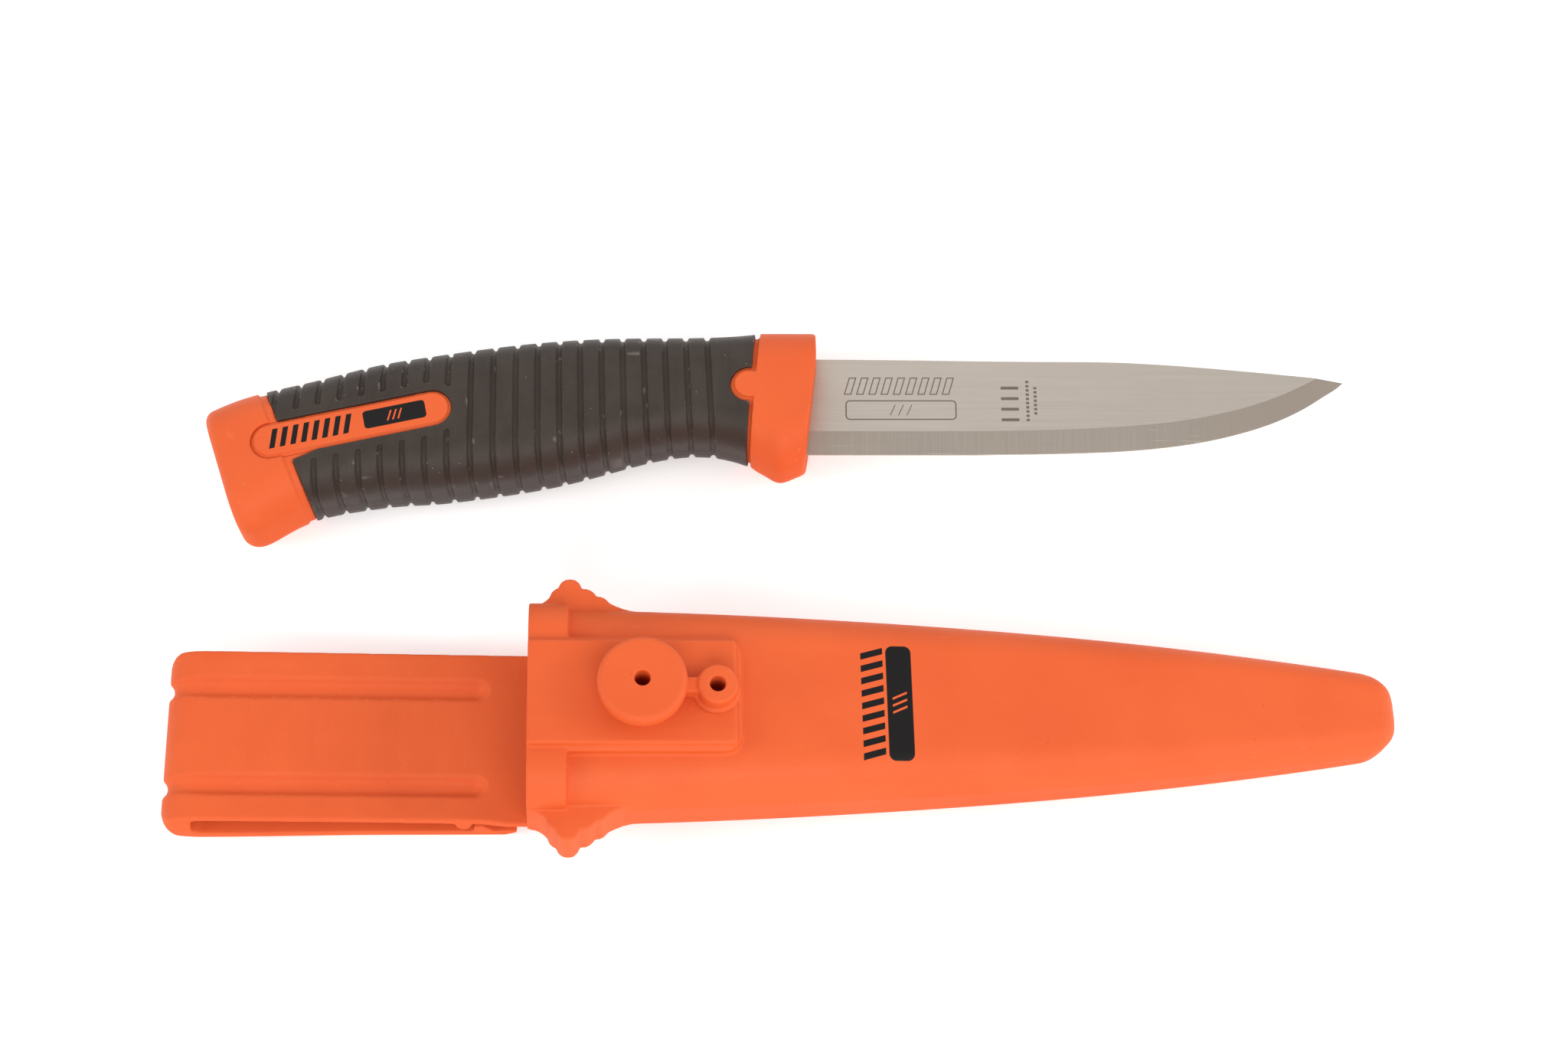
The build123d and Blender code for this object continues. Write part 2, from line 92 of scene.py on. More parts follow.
def gather(nodes, place):
    """CAD nodes as one solid, in mm in the local frame given by place."""
    solid = bmesh.new()
    for node in nodes:
        solid.from_mesh(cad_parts[node].data)
    bmesh.ops.transform(solid, matrix=TO_MM, verts=solid.verts)
    bmesh.ops.transform(solid, matrix=place.inverted(), verts=solid.verts)
    bmesh.ops.remove_doubles(solid, verts=solid.verts, dist=0.002)
    return solid


def cut(solid, *planes):
    """For each (point, normal), removes the side the normal points to and closes the cut."""
    for point, normal in planes:
        geom = solid.verts[:] + solid.edges[:] + solid.faces[:]
        result = bmesh.ops.bisect_plane(solid, geom=geom, dist=1e-5, plane_co=point,
                                        plane_no=normal, clear_outer=True)
        rim_edges = [e for e in result["geom_cut"] if isinstance(e, bmesh.types.BMEdge)]
        bmesh.ops.holes_fill(solid, edges=rim_edges, sides=0)
    return solid


def joined(*parts):
    out = bmesh.new()
    for part in parts:
        mesh = bpy.data.meshes.new("tmp")
        part.to_mesh(mesh)
        part.free()
        out.from_mesh(mesh)
        bpy.data.meshes.remove(mesh)
    return out


def smoothstep(low, high, x):
    t = np.clip((x - low) / (high - low), 0.0, 1.0)
    return t * t * (3 - 2 * t)


def relax(co, edges, weight, rounds):
    """Laplacian easing; weight is one number or one per vertex."""
    i, j = edges[:, 0], edges[:, 1]
    n = len(co)
    degree = np.maximum(np.bincount(i, minlength=n) + np.bincount(j, minlength=n), 1)
    pull = (np.ones(n) * weight)[:, None] * 0.5
    for _ in range(rounds):
        average = np.stack([(np.bincount(i, co[j, c], n) + np.bincount(j, co[i, c], n)) / degree
                            for c in range(3)], 1)
        co = co + (average - co) * pull
    return co


def baked(ob):
    """Applies the object's modifiers and gives its new mesh."""
    depsgraph = bpy.context.evaluated_depsgraph_get()
    old = ob.data
    ob.data = bpy.data.meshes.new_from_object(ob.evaluated_get(depsgraph))
    ob.modifiers.clear()
    bpy.data.meshes.remove(old)
    return ob.data


def soften(name, solid, place, voxel, rounds, keep, zones=(), shape=None):
    """Moulded look: the solid is re-skinned at an even pitch, its edges are eased, more in
    some zones (weight function, rounds), it is shaped, then thinned to the share keep."""
    mesh = bpy.data.meshes.new(name)
    solid.to_mesh(mesh)
    solid.free()
    ob = link(bpy.data.objects.new(name, mesh))
    coarse = 1.0
    skin = ob.modifiers.new("skin", "REMESH")
    skin.mode = "VOXEL"
    skin.voxel_size = voxel * coarse
    skin.adaptivity = 0.0
    skin.use_smooth_shade = True
    mesh = baked(ob)

    edges = np.empty(len(mesh.edges) * 2, np.int64)
    mesh.edges.foreach_get("vertices", edges)
    edges = edges.reshape(-1, 2)
    co = np.empty(len(mesh.vertices) * 3)
    mesh.vertices.foreach_get("co", co)
    co = co.reshape(-1, 3)
    for weight, count in ((lambda _: 1.0, rounds), *zones):
        co = relax(co, edges, weight(co), max(1, int(count / coarse / coarse)))
    if shape is not None:
        co = shape(co)
    mesh.vertices.foreach_set("co", co.astype(np.float32).ravel())
    mesh.update()

    thin = ob.modifiers.new("thin", "DECIMATE")
    thin.ratio = keep
    thin.use_collapse_triangulate = True
    mesh = baked(ob)
    mesh.name = name
    mesh.transform(place)
    mesh.transform(TO_M)
    mesh.shade_smooth()
    return ob


# ================================================================ shader graph tools
class Value:
    """A value in a shader graph; arithmetic on it adds math nodes."""

    def __init__(self, finish, source):
        self.finish, self.source = finish, source

    def _op(self, op, *others, clamp=False):
        n = self.finish.node("ShaderNodeMath", operation=op, use_clamp=clamp)
        for i, x in enumerate((self,) + others):
            self.finish.put(n.inputs[i], x)
        return Value(self.finish, n.outputs[0])

    def __add__(self, o): return self._op("ADD", o)
    def __radd__(self, o): return self._op("ADD", o)
    def __sub__(self, o): return self._op("SUBTRACT", o)
    def __rsub__(self, o): return Value(self.finish, o)._op("SUBTRACT", self)
    def __neg__(self): return 0.0 - self
    def __mul__(self, o): return self._op("MULTIPLY", o)
    def __rmul__(self, o): return self._op("MULTIPLY", o)
    def __truediv__(self, o): return self._op("DIVIDE", o)
    def abs(self): return self._op("ABSOLUTE")
    def frac(self): return self._op("FRACT")
    def pow(self, o): return self._op("POWER", o)
    def max(self, o): return self._op("MAXIMUM", o)
    def clamped(self): return self._op("ADD", 0.0, clamp=True)

    def swing(self, amount, middle=0.5):
        """The departure from a middle value, scaled."""
        return (self - middle) * amount

    def above(self, level):
        return (self - level).clamped()

    def ramp(self, low, high):
        """0 below low, 1 above high, smooth between."""
        n = self.finish.node("ShaderNodeMapRange", interpolation_type="SMOOTHSTEP")
        self.finish.put(n.inputs["Value"], self)
        for key, x in (("From Min", low), ("From Max", high), ("To Min", 0.0), ("To Max", 1.0)):
            n.inputs[key].default_value = x
        return Value(self.finish, n.outputs["Result"])

    def band(self, low, high, soft):
        """1 between low and high."""
        return self.ramp(low - soft, low + soft) * (1.0 - self.ramp(high - soft, high + soft))


class Finish:
    """A material whose textures lie in mm in a local frame."""

    def __init__(self, name, place=Matrix.Identity(4)):
        self.mat = bpy.data.materials.new(name)
        self.mat.use_nodes = True
        self.tree = self.mat.node_tree
        self.tree.nodes.clear()
        self.out = self.node("ShaderNodeOutputMaterial")
        tex = self.node("ShaderNodeTexCoord")
        mapping = self.node("ShaderNodeMapping", vector_type="POINT")
        location, rotation, scale = (place.inverted() @ TO_MM).decompose()
        mapping.inputs["Location"].default_value = location
        mapping.inputs["Rotation"].default_value = rotation.to_euler("XYZ")
        mapping.inputs["Scale"].default_value = scale
        self.put(mapping.inputs["Vector"], tex.outputs["Object"])
        self.point = mapping.outputs[0]

    def node(self, kind, **props):
        n = self.tree.nodes.new(kind)
        for key, value in props.items():
            setattr(n, key, value)
        return n

    def put(self, sock, v):
        if isinstance(v, Value):
            v = v.source
        if isinstance(v, bpy.types.NodeSocket):
            self.tree.links.new(v, sock)
        elif isinstance(v, (tuple, list)) and sock.type == "RGBA" and len(v) == 3:
            sock.default_value = (*v, 1.0)
        else:
            sock.default_value = v

    def split(self, vector):
        n = self.node("ShaderNodeSeparateXYZ")
        self.put(n.inputs[0], vector)
        return [Value(self, n.outputs[i]) for i in range(3)]

    def axes(self):
        """x, y and z in the local frame."""
        return self.split(self.point)

    def normal(self):
        """Geometry normal in the shared frame, as three values."""
        return self.split(self.node("ShaderNodeNewGeometry").outputs["Normal"])

    def pointy(self):
        return Value(self, self.node("ShaderNodeNewGeometry").outputs["Pointiness"])

    def stretched(self, stretch):
        return self.vmath("MULTIPLY", self.point, stretch) if stretch else self.point

    def noise(self, scale=1.0, stretch=None, detail=3.0, rough=0.6, distortion=0.0, seed=0.0):
        vector = self.stretched(stretch)
        n = self.node("ShaderNodeTexNoise", noise_dimensions="4D")
        for key, value in (("Vector", vector), ("W", seed), ("Scale", scale), ("Detail", detail),
                           ("Roughness", rough), ("Distortion", distortion)):
            self.put(n.inputs[key], value)
        return Value(self, n.outputs[0])

    def cells(self, scale=1.0, stretch=None):
        vector = self.stretched(stretch)
        n = self.node("ShaderNodeTexVoronoi")
        self.put(n.inputs["Vector"], vector)
        n.inputs["Scale"].default_value = scale
        return Value(self, n.outputs["Distance"])

    def specks(self, scale, dot, patch_scale, patch, seed):
        """Small dots, only inside patches; dot and patch are ramp limits."""
        dots = 1.0 - self.cells(scale).ramp(*dot)
        return dots * self.noise(patch_scale, detail=2.0, rough=0.5, seed=seed).ramp(*patch)

    def mix(self, amount, under, over):
        n = self.node("ShaderNodeMix", data_type="RGBA")
        for i, value in ((0, amount), (6, under), (7, over)):
            self.put(n.inputs[i], value)
        return n.outputs[2]

    def bump(self, height, depth, strength, normal=None):
        """Relief of a depth in mm, on top of another normal if given."""
        n = self.node("ShaderNodeBump")
        n.inputs["Strength"].default_value = strength
        n.inputs["Distance"].default_value = depth * MM
        self.put(n.inputs["Height"], height)
        if normal is not None:
            self.put(n.inputs["Normal"], normal)
        return n.outputs[0]

    def round_edges(self, radius, samples):
        n = self.node("ShaderNodeBevel", samples=samples)
        n.inputs["Radius"].default_value = radius * MM
        return n.outputs[0]

    def vector(self, *parts):
        n = self.node("ShaderNodeCombineXYZ")
        for i, value in enumerate(parts):
            self.put(n.inputs[i], value)
        return n.outputs[0]

    def vmath(self, op, a, b=None):
        n = self.node("ShaderNodeVectorMath", operation=op)
        self.put(n.inputs[0], a)
        if b is not None:
            self.put(n.inputs["Scale"] if op == "SCALE" else n.inputs[1], b)
        return n.outputs[0]

    def surface(self, **inputs):
        n = self.node("ShaderNodeBsdfPrincipled")
        for key, value in inputs.items():
            self.put(n.inputs[key.replace("_", " ")], value)
        self.tree.links.new(n.outputs[0], self.out.inputs[0])


def srgb(*rgb):
    """Linear colour from sRGB of 0 to 255."""
    parts = [c / 255.0 for c in rgb]
    return tuple(c / 12.92 if c <= 0.04045 else ((c + 0.055) / 1.055) ** 2.4 for c in parts)


def dress(ob, finish):
    ob.data.materials.clear()
    ob.data.materials.append(finish.mat)
    for p in ob.data.polygons:
        if p.material_index:
            p.material_index = 0


# ================================================================ printed and etched marks
# u runs along a mark and v across it, in mm; soft is the half width of its blurred edge
def teeth(w, start, pitch, duty, soft):
    """Repeating bars from start, each filling the share duty of its pitch."""
    f = ((w - start) / pitch).frac()
    return f.ramp(0.0, soft / pitch) * (1.0 - f.ramp(duty, duty + soft / pitch))


def bars(u, v, along, across, pitch, duty, slant=0.0, soft=0.03):
    """Row of slanted bars filling a strip."""
    w = u - v * slant
    on = teeth(w, along[0], pitch, duty, soft)
    return on * w.band(*along, soft) * v.band(*across, soft)


def outlined_bars(u, v, along, across, pitch, duty, slant, line, soft=0.03):
    """Outlines only of the same bars."""
    outer = bars(u, v, along, across, pitch, duty, slant, soft)
    w = u - v * slant - line
    inner = teeth(w, along[0], pitch, duty - 2 * line / pitch, soft)
    inner = inner * v.band(across[0] + line, across[1] - line, soft)
    return (outer - inner).clamped()


def plaque(u, v, half_u, half_v, radius, soft, line=None):
    """Rounded rectangle about the origin: filled, or only its outline."""
    du = (u.abs() - (half_u - radius)).max(0.0)
    dv = (v.abs() - (half_v - radius)).max(0.0)
    d = (du * du + dv * dv).pow(0.5) - radius
    if line is None:
        return 1.0 - d.ramp(-soft, soft)
    half = line * 0.5
    return 1.0 - (d + half).abs().ramp(half - soft, half + soft)


def stripes(u, v, pitch, width, height, soft, slant=0.45):
    """Three slanted stripes about the origin, up to height on both sides."""
    w = u - v * slant
    total = 0.0
    for c in (-pitch, 0.0, pitch):
        total = w.band(c - width / 2, c + width / 2, soft) + total
    return total.clamped() * v.band(-height, height, soft)


def badge(u, v, half_u, half_v, radius, pitch, width, soft):
    """Filled plaque with three stripes left open, as tall as their pitch."""
    filled = plaque(u, v, half_u, half_v, radius, soft)
    return filled * (1.0 - stripes(u, v, pitch, width, pitch, soft))


def sheath_ink(x, y, z):
    """A row of bars and a badge across the sheath, on its button face."""
    top = z.ramp(3.0, 3.5)
    row = bars(y, x - 61.2, along=(-11.0, 9.8), across=(-2.0, 2.0), pitch=2.34, duty=0.52,
               slant=0.28, soft=0.06)
    mark = badge(y + 0.8, x - 66.05, half_u=10.7, half_v=2.3, radius=1.3, pitch=1.3, width=0.42,
                 soft=0.06)
    return (row + mark).clamped() * top


def plate_ink(x, y, z):
    """A row of bars and a badge along the inlay plate, on both outer faces."""
    c, s = math.cos(PLATE_TURN), math.sin(PLATE_TURN)
    dx, dy = -PLATE_START[0], -PLATE_START[1]
    u = (x + dx) * c + (y + dy) * s
    v = (y + dy) * c - (x + dx) * s
    row = bars(u, v - 0.1, along=(0.2, 16.0), across=(-1.95, 1.95), pitch=2.0, duty=0.52,
               slant=0.30)
    mark = badge(u - 23.7, v - 0.1, half_u=5.9, half_v=1.85, radius=0.7, pitch=1.0, width=0.32,
                 soft=0.04)
    return (row + mark).clamped() * z.abs().ramp(3.0, 4.0)


def blade_etching(x, y, z):
    """Outlined bars over an outlined badge, then rows of ticks across the blade."""
    row = outlined_bars(x, y - 3.9, along=(6.8, 28.0), across=(-1.85, 1.85), pitch=2.36, duty=0.62,
                        slant=0.28, line=0.23)
    badge_x, badge_drop = 17.3, 1.2
    mark = plaque(x - badge_x, y + badge_drop, half_u=10.7, half_v=2.1, radius=0.9, soft=0.03,
                  line=0.26)
    mark = mark + stripes(x - badge_x, y + badge_drop, pitch=1.6, width=0.2, height=1.1, soft=0.03)
    # columns: row centre x, extent in y, extent in x about the centre, pitch, duty
    tick_rows = ((38.3, (-3.6, 5.1), (-1.7, 1.7), 2.25, 0.28),
                 (42.5, (-3.6, 5.1), (-1.1, -0.5), 0.9, 0.6),
                 (42.5, (-2.2, 3.7), (0.4, 1.0), 0.9, 0.6))
    large, small, short = [bars(y, x - at, *sizes) for at, *sizes in tick_rows]
    return (row + mark + (large + small + short)).clamped() * z.ramp(1.1, 1.2)


# ================================================================ finishes
# A factor on a layer is its strength; ramp limits pick how much of a texture shows.
# Plastic: the edge colour is partly rubbed wear, partly a painted highlight.
PLASTIC = dict(base=srgb(221, 96, 49), deep=srgb(208, 82, 39), flow=srgb(232, 107, 60),
               edge=srgb(240, 132, 90), scuff=srgb(245, 150, 112), speck=srgb(150, 52, 20),
               ink=srgb(22, 20, 20))
# Steel: the bevel's colour near the point is painted shade.
STEEL = dict(dark=srgb(192, 182, 171), light=srgb(214, 205, 195), cloud=srgb(184, 173, 162),
             ground_dark=srgb(159, 149, 138), ground_light=srgb(170, 160, 150),
             painted_point_shade=srgb(143, 131, 120), scratch=srgb(235, 230, 224), etch=srgb(88, 76, 64))
# Rubber: the edge colour is a painted highlight; the under and groove colours are painted shade.
RUBBER = dict(dark=srgb(54, 46, 41), light=srgb(70, 62, 56), rubbed=srgb(84, 76, 69),
              edge=srgb(120, 113, 105), under=srgb(54, 40, 34), groove=srgb(38, 33, 29),
              speck=srgb(176, 168, 158), lint=srgb(150, 143, 135), seam=srgb(30, 26, 23))


def orange_plastic(name, place, ink=None, grain=1.0, gloss=0.52):
    """Moulded polypropylene: fine grain, flow mottling, paler edges that are partly rubbed wear
    and partly a painted highlight, hairline scuffs.
    grain scales the relief; gloss is the middle roughness."""
    m = Finish(name, place)
    mottle = m.noise(0.045, rough=0.5, seed=1.0)
    flow = m.noise(stretch=(0.02, 0.16, 0.16), distortion=0.8, seed=2.0)
    fine = m.noise(2.6, detail=4.0, rough=0.62, seed=3.0)
    pits = m.cells(3.1)
    scuff_x = m.noise(stretch=(0.10, 2.4, 2.4), detail=2.0, rough=0.7, distortion=1.2,
                      seed=4.0).ramp(0.69, 0.74)
    scuff_y = m.noise(stretch=(1.9, 0.14, 1.9), detail=2.0, rough=0.7, distortion=1.0,
                      seed=5.0).ramp(0.71, 0.75)
    specks = m.specks(0.42, dot=(0.05, 0.11), patch_scale=0.12, patch=(0.55, 0.62), seed=6.0)

    colour = m.mix(mottle.swing(1.4, middle=0.42), PLASTIC["base"], PLASTIC["deep"])
    colour = m.mix(flow.above(0.5) * 0.6, colour, PLASTIC["flow"])
    # paler convex edges: partly rubbed wear, partly a painted highlight on rims and lips
    colour = m.mix(m.pointy().ramp(0.53, 0.66) * 0.16, colour, PLASTIC["edge"])
    colour = m.mix((scuff_x + scuff_y).clamped() * 0.05, colour, PLASTIC["scuff"])
    colour = m.mix(specks * 0.25, colour, PLASTIC["speck"])
    rough = 0.0 + fine.swing(0.16) + (scuff_x + scuff_y) * 0.10 + mottle.swing(0.10) + gloss
    if ink is not None:
        mask = ink(*m.axes())
        worn = m.noise(1.1, detail=4.0, rough=0.7, seed=7.0).ramp(0.66, 0.76)
        mask = mask * (1.0 - worn * 0.45)
        colour = m.mix(mask, colour, PLASTIC["ink"])
        rough = rough * (1.0 - mask * 0.25)

    relief = fine * 0.55 + pits * 0.45 - specks * 0.3
    # faces turned up shine more than walls
    specular = m.normal()[2].ramp(0.05, 0.75) * 0.16 + 0.04
    normal = m.bump(relief, depth=0.045 * grain, strength=0.8)
    normal = m.bump(mottle + flow * 0.6, depth=0.12, strength=0.35, normal=normal)
    m.surface(Base_Color=colour, Roughness=rough.clamped(), Normal=normal, IOR=1.49,
              Specular_IOR_Level=specular, Subsurface_Weight=0.06,
              Subsurface_Radius=(0.9, 0.35, 0.15), Subsurface_Scale=0.0009)
    return m


def steel_shape(m, x, y, z):
    """Mask of the ground bevel, and the blade's normal smoothed on its broad faces."""
    nx, ny, nz = m.normal()
    face = nz.abs().ramp(0.30, 0.70)
    # the grinding line: straight, then one smooth sweep up to the point
    sweep_start, sweep_unit, line_y = 28.0, 10.0, 5.66
    quartic, cubic, square = 0.00513, 0.01622, 0.09493
    t = (x - sweep_start).max(0.0) / sweep_unit
    line = t * t * (t * (t * quartic - cubic) + square) - line_y
    rise = (t * (t * (t * (4 * quartic) - 3 * cubic) + 2 * square)) / sweep_unit
    ground_side = 1.0 - (y - line).ramp(-0.07, 0.07)
    bevel = ground_side * face
    # the bevel leans square to the line; bevel_slope is its tilt
    bevel_slope = 0.27
    lean = ground_side * bevel_slope / (rise * rise + 1.0).pow(0.5)
    facing = z.ramp(-0.01, 0.01) * 2.0 - 1.0
    lean_x, lean_y = lean * rise, -lean
    c, s = math.cos(KNIFE_TURN), math.sin(KNIFE_TURN)
    smooth = m.vector(lean_x * c - lean_y * s, lean_x * s + lean_y * c, facing)
    flat = m.vector(nx, ny, nz)
    rounded = m.round_edges(radius=0.18, samples=6)
    change = m.vmath("SUBTRACT", m.vmath("NORMALIZE", smooth), flat)
    normal = m.vmath("ADD", rounded, m.vmath("SCALE", change, face))
    return bevel, m.vmath("NORMALIZE", normal)


def steel_finish(name, place):
    """Satin stainless: long fine brushing, a darker bevel with cross-grinding, etched marks."""
    m = Finish(name, place)
    x, y, z = m.axes()
    bevel, shaped = steel_shape(m, x, y, z)
    brush = m.noise(stretch=(0.035, 9.0, 9.0), detail=5.0, rough=0.62, seed=11.0)
    hairline = m.noise(stretch=(0.16, 22.0, 22.0), seed=12.0)
    cross = m.noise(stretch=(9.0, 0.7, 9.0), seed=13.0)
    cloud = m.noise(0.05, rough=0.5, seed=14.0)
    scratch = m.noise(stretch=(0.05, 3.5, 3.5), detail=2.0, distortion=0.6,
                      seed=15.0).ramp(0.70, 0.74)
    streak = brush * 0.6 + hairline * 0.4
    colour = m.mix(streak.swing(2.4, middle=0.32), STEEL["dark"], STEEL["light"])
    colour = m.mix(cloud.above(0.5) * 0.6, colour, STEEL["cloud"])

    ground = m.noise(stretch=(4.5, 0.05, 0.05), rough=0.7, seed=16.0)
    low = m.mix(ground.above(0.36) * 3.2, STEEL["ground_dark"], STEEL["ground_light"])
    # painted shade: the bevel darkens towards the point, standing in for its steeper tilt there
    low = m.mix(x.ramp(56.0, 98.0) * 0.75, low, STEEL["painted_point_shade"])
    colour = m.mix(bevel * 0.85, colour, low)
    colour = m.mix(scratch * 0.3, colour, STEEL["scratch"])
    etch = blade_etching(x, y, z)
    colour = m.mix(etch * 0.74, colour, STEEL["etch"])

    rough = streak.swing(0.22) + 0.44 + bevel * 0.05 + etch * 0.25 + cloud.swing(0.1)
    bevel_relief = cross * 0.3 + ground * 0.5 + streak * 0.4
    relief = streak * (1.0 - bevel) + bevel_relief * bevel - etch * 0.5 - scratch * 0.4
    normal = m.bump(relief, depth=0.02, strength=0.5, normal=shaped)
    m.surface(Base_Color=colour, Metallic=1.0, Roughness=rough.clamped(), Normal=normal)
    return m


def rubber_finish(name, place):
    """Thermoplastic rubber: satin brown-black, fine grain, pale specks, painted shade in the
    grooves and on the side turned to -y, a painted highlight on its edges.
    """
    m = Finish(name, place)
    z = m.axes()[2]
    grain = m.noise(3.2, detail=4.0, rough=0.65, seed=21.0)
    pits = m.cells(2.4)
    cloud = m.noise(0.09, detail=4.0, distortion=0.5, seed=22.0)
    rubbed = m.noise(stretch=(0.5, 0.09, 0.5), detail=4.0, distortion=0.8, seed=23.0)
    specks = m.specks(0.62, dot=(0.035, 0.08), patch_scale=0.2, patch=(0.50, 0.58), seed=24.0)
    lint = 1.0 - m.cells(stretch=(0.9, 0.25, 0.9)).ramp(0.02, 0.05)

    colour = m.mix(cloud.swing(1.6, middle=0.35), RUBBER["dark"], RUBBER["light"])
    colour = m.mix(rubbed.above(0.5) * 0.6, colour, RUBBER["rubbed"])
    # painted highlight: paler convex edges and rib crests
    colour = m.mix(m.pointy().ramp(0.52, 0.62) * 0.5, colour, RUBBER["edge"])
    # painted shade: faces turned towards -y, the edge side, are darker and redder
    under = (-m.normal()[1]).ramp(0.25, 0.85)
    colour = m.mix(under * 0.45, colour, RUBBER["under"])
    # painted shade in the concave grooves; the same mask also roughens them
    groove = 1.0 - m.pointy().ramp(0.38, 0.48)
    colour = m.mix(groove * 0.6, colour, RUBBER["groove"])
    colour = m.mix(specks * 0.55, colour, RUBBER["speck"])
    colour = m.mix(lint * 0.12, colour, RUBBER["lint"])
    rough = grain.swing(0.20) + cloud.swing(0.16) + 0.48 + groove * 0.15
    seam = 1.0 - (z + SEAM_DROP).abs().ramp(0.05, 0.16)
    seam = seam * m.noise(0.07, detail=2.0, rough=0.5, seed=25.0).ramp(0.38, 0.55)
    colour = m.mix(seam * 0.6, colour, RUBBER["seam"])

    normal = m.bump(grain * 0.6 + pits * 0.4 + specks * 0.4, depth=0.06, strength=0.8)
    normal = m.bump(1.0 - seam, depth=0.15, strength=0.7, normal=normal)
    m.surface(Base_Color=colour, Roughness=rough.clamped(), Normal=normal, IOR=1.5,
              Specular_IOR_Level=0.22, Sheen_Weight=0.03, Sheen_Roughness=0.45)
    return m


sheath_plastic = orange_plastic("orange_pp_sheath", SHEATH, sheath_ink)
clip_plastic = orange_plastic("orange_pp_clip", SHEATH, grain=1.3, gloss=0.56)
button_plastic = orange_plastic("orange_pp_button", SHEATH, grain=0.8)
core_plastic = orange_plastic("orange_pp_core", KNIFE, grain=0.9)
plate_plastic = orange_plastic("orange_pp_plate", KNIFE, plate_ink, grain=0.7)
steel = steel_finish("satin_steel", KNIFE)
rubber = rubber_finish("tpe_rubber", KNIFE)


# ================================================================ local shaping
def near_guard(co):
    return smoothstep(-3.5, -2.0, co[:, 0])


def near_seam(co):
    """The grip grooves run out shallower towards the mould's parting line."""
    return 1 - smoothstep(2.5, 6.0, np.abs(co[:, 2] + SEAM_DROP))


def plate_rim(co):
    """Lowers a narrow rim round the plate's raised oval."""
    start = np.array(PLATE_START)
    d = np.array(PLATE_END) - start
    t = np.clip(((co[:, :2] - start) @ d) / (d @ d), 0, 1)
    inside = PLATE_RADIUS - np.linalg.norm(co[:, :2] - start - t[:, None] * d, axis=1)
    drop = RIM_DROP * (1 - smoothstep(0.50, 0.74, inside))
    out = co.copy()
    out[:, 2] -= np.sign(co[:, 2]) * drop * smoothstep(7.4, 8.2, np.abs(co[:, 2]))
    return out


def near_panel(co):
    """The panel on the sheath's button face."""
    x, y, z = co.T
    along = smoothstep(7.0, 9.0, x) * (1 - smoothstep(40.5, 44.0, x))
    return along * (1 - smoothstep(12.5, 14.5, np.abs(y))) * smoothstep(10.6, 11.2, z)


def round_tip(co):
    """The blind end is one full curve across its width."""
    x, y, _ = co.T
    end = x.max()
    side = np.minimum(np.abs(y) / TIP_HALF_WIDTH, 1.2)
    out = co.copy()
    out[:, 0] -= smoothstep(end - TIP_LENGTH, end, x) * (TIP_TRIM + TIP_CURVE * side ** 3.0)
    return out


def clip_shape(low_edge):
    """Shaping of a clip whose low-y long edge lies at low_edge."""
    def shape(co):
        x, y, z = co.T
        # the strap's edge stands inside the leg's, so the slot between them shows
        edge = 1 - smoothstep(low_edge, low_edge + 6.0, y)
        strap = (smoothstep(-14.5, -11.5, z) * (1 - smoothstep(-9.0, -3.0, x))
                 * smoothstep(-70.0, -62.0, x))
        leg = (1 - smoothstep(-14.5, -12.5, z)) * (1 - smoothstep(-60.0, -25.0, x))
        # two grooves in the sloping top, with a steep round end
        top = -11.2 - 0.0383 * x
        on_top = smoothstep(top - 1.55, top - 1.2, z) * smoothstep(-63.0, -57.0, x)
        dip = 0.0
        for groove_y in GROOVES_Y:
            away = np.hypot(y - groove_y, np.maximum(x - GROOVE_END, 0.0))
            dip = dip + np.maximum(1 - (away / GROOVE_HALF_WIDTH) ** 4, 0.0)
        out = co.copy()
        out[:, 1] += edge * (STRAP_INSET * strap - LEG_OUTSET * leg)
        out[:, 2] -= GROOVE_DEPTH * on_top * np.minimum(dip, 1.0)
        return out
    return shape


# ================================================================ pieces
def piece(name, node, place, body, slot, finish, solid=None, **look):
    """A softened CAD node, or a solid cut from it, that rides on a body."""
    ob = soften(name, solid or gather([node], place), place, **look)
    dress(ob, finish)
    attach(ob, body)
    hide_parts(node)


def belt_clip():
    """Strap, bend and leg as one springy strip; the leg's top is cleared for the tooth."""
    strap = gather(["belt_strap"], SHEATH)
    low_edge = min(v.co.y for v in strap.verts)
    leg_bend_end = cut(gather(["clip_leg"], SHEATH), ((LEG_SPLIT, 0, 0), (1, 0, 0)))
    leg_free_end = cut(gather(["clip_leg"], SHEATH),
                       ((LEG_SPLIT - LEG_OVERLAP, 0, 0), (-1, 0, 0)),
                       ((0, 0, LEG_TOP - 0.02), (0, 0, 1)))
    clip = soften("belt_clip", joined(strap, leg_bend_end, leg_free_end), SHEATH, voxel=0.28,
                  rounds=2, keep=0.3, shape=clip_shape(low_edge))
    dress(clip, clip_plastic)
    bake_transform(clip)
    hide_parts("belt_strap", "clip_leg")


def catch_tooth():
    """The tooth that stands on the free leg, sunk a little into it."""
    solid = cut(gather(["clip_leg"], SHEATH), ((TOOTH_START, 0, 0), (-1, 0, 0)),
                ((0, 0, LEG_TOP - 0.7), (0, 0, -1)), ((TOOTH_END, 0, 0), (1, 0, 0)))
    piece("catch_tooth", "clip_leg", SHEATH, "spring_leg", "sheath_plastic", clip_plastic,
          solid=solid, voxel=0.2, rounds=2, keep=0.4)


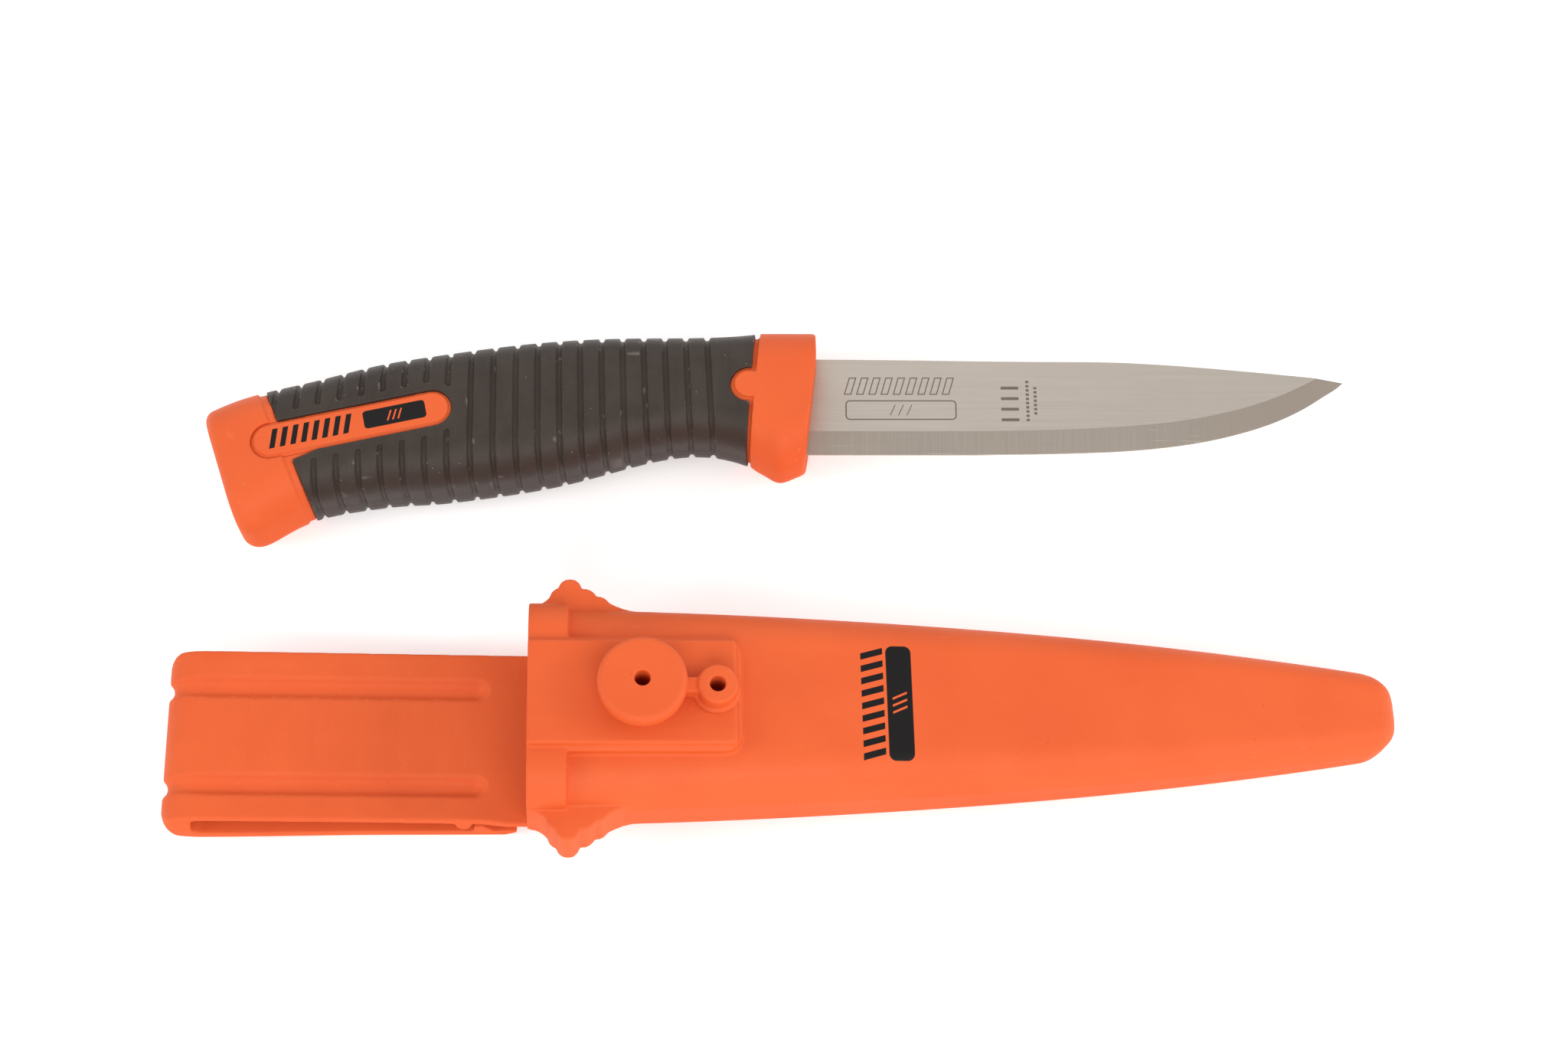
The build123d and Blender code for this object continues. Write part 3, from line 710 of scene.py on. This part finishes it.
dress(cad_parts["blade"], steel)
piece("knife_core", "handle_core", KNIFE, "knife", "handle_plastic", core_plastic,
      voxel=0.22, rounds=2, keep=0.3, zones=[(near_guard, 5)])
piece("grip_sleeve", "grip_overmould", KNIFE, "knife", "grip_rubber", rubber,
      voxel=0.20, rounds=4, keep=0.28, zones=[(near_seam, 9)])
for side in ("left", "right"):
    piece("inlay_plate_" + side, "side_plate_" + side, KNIFE, "knife", "handle_plastic",
          plate_plastic, voxel=0.15, rounds=4, keep=0.4, shape=plate_rim)
piece("sheath_moulding", "sheath_shell", SHEATH, "sheath", "sheath_plastic", sheath_plastic,
      voxel=0.25, rounds=1, keep=0.25, zones=[(near_panel, 2)], shape=round_tip)
piece("stud_pair", "button_stud", SHEATH, "sheath", "sheath_plastic", button_plastic,
      voxel=0.18, rounds=3, keep=0.35)
belt_clip()
catch_tooth()


# ================================================================ stage
def pale_floor(half=6):
    mesh = bpy.data.meshes.new("floor")
    corners = [(-half, -half, 0), (half, -half, 0), (half, half, 0), (-half, half, 0)]
    mesh.from_pydata(corners, [], [(0, 1, 2, 3)])
    floor = link(bpy.data.objects.new("floor", mesh))
    floor.location = (0, 0, -0.00004)
    m = Finish("pale_floor")
    colour = m.mix(m.noise(0.01, rough=0.5), (0.93, 0.93, 0.93), (0.96, 0.96, 0.96))
    m.surface(Base_Color=colour, Roughness=0.7, Specular_IOR_Level=0.2,
              Emission_Color=(1.0, 1.0, 1.0), Emission_Strength=0.26)
    dress(floor, m)


def aim(ob, location, target):
    ob.location = location
    ob.rotation_mode = "QUATERNION"
    ob.rotation_quaternion = (Vector(target) - ob.location).to_track_quat("-Z", "Y")


pale_floor()

world = bpy.data.worlds.new("studio")
scene.world = world
world.use_nodes = True
background = world.node_tree.nodes["Background"]
background.inputs["Color"].default_value = (1.0, 0.99, 0.98, 1)
background.inputs["Strength"].default_value = 0.62

# softboxes aimed at the origin: name, place (m), width and height (m), power (W), colour
SOFTBOXES = (
    ("key", (0.10, -0.90, 0.90), (1.0, 0.6), 8.0, (1.0, 0.99, 0.98)),
    ("right", (0.95, -0.10, 0.50), (0.6, 0.6), 4.0, (1, 1, 1)),
    ("left", (-0.80, -0.20, 0.50), (0.3, 0.3), 1.8, (1, 1, 1)),
    ("back", (-0.20, 0.85, 0.75), (1.2, 0.5), 2.5, (1, 1, 1)),
)
for name, location, size, power, colour in SOFTBOXES:
    light = bpy.data.lights.new(name, "AREA")
    light.shape = "RECTANGLE"
    light.size, light.size_y = size
    light.energy = power
    light.color = colour
    aim(link(bpy.data.objects.new(name, light)), location, (0, 0, 0))

scene.view_settings.view_transform = "Standard"
scene.view_settings.look = "None"

lens = bpy.data.cameras.new("camera")
lens.lens = 58.008
lens.sensor_width = 36.0
lens.clip_start, lens.clip_end = 0.01, 20.0
camera = link(bpy.data.objects.new("camera", lens))
aim(camera, Vector((-3.33, -173.46, 449.91)) * MM, Vector((1.23, 13.21, 10.0)) * MM)
scene.camera = camera
